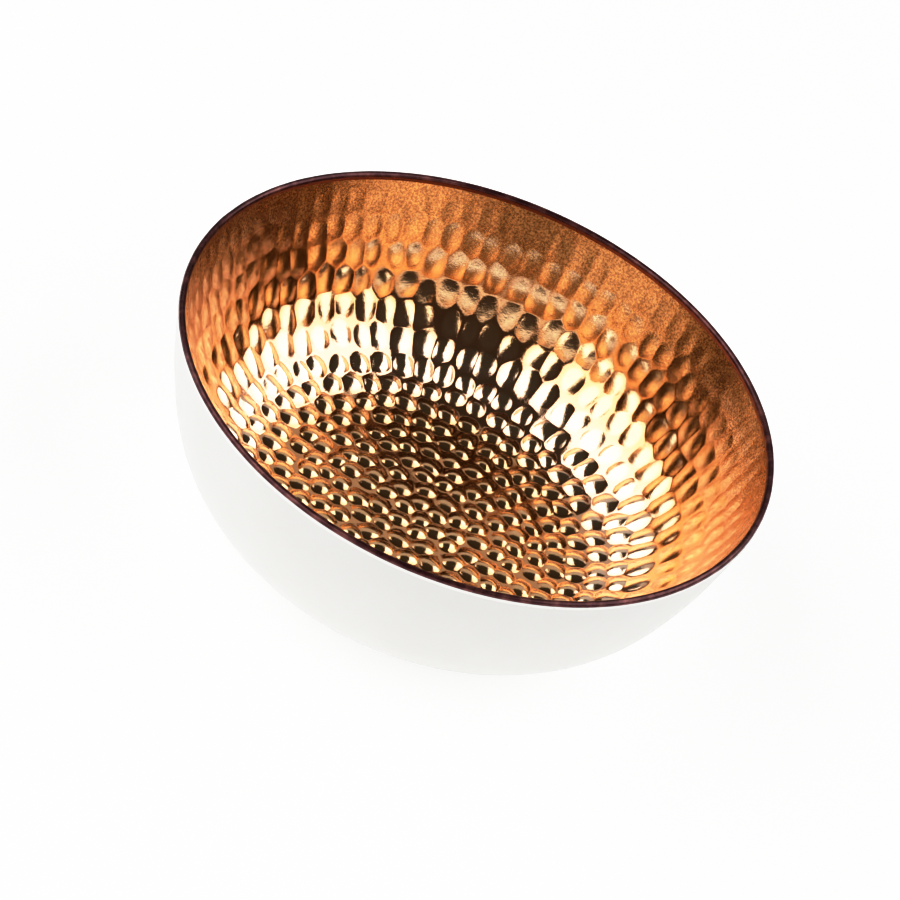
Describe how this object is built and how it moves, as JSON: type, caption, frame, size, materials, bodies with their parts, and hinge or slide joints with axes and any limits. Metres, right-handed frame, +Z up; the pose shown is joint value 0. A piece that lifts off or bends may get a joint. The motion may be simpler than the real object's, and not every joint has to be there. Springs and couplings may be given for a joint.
{
  "type": "hammered bowl",
  "caption": "Round double-walled serving bowl: a hammered copper inner bowl in a smooth white outer shell, crimped under a dark wired rim, with a flat base.",
  "frame": {"origin": "centre of the flat base, on the surface the bowl stands on", "axes": "+Z up along the bowl's axis of symmetry; X and Y are free, because the bowl is round"},
  "size_m": [0.25, 0.25, 0.088],
  "materials": {
    "white_shell": "satin white enamel over sheet steel, faintly uneven",
    "hammered_copper": null,
    "dark_copper": "copper darkened to a purple brown, half gloss, rubbed on its crown",
    "rim_wire": "drawn wire, hidden in the rim",
    "plug_metal": "plain turned metal"
  },
  "bodies": {
    "root": {"outer_shell": "white_shell", "inner_bowl": "hammered_copper", "rim_band": "dark_copper", "rim_wire": "rim_wire", "vent_plug": "plug_metal"}
  },
  "joints": []
}
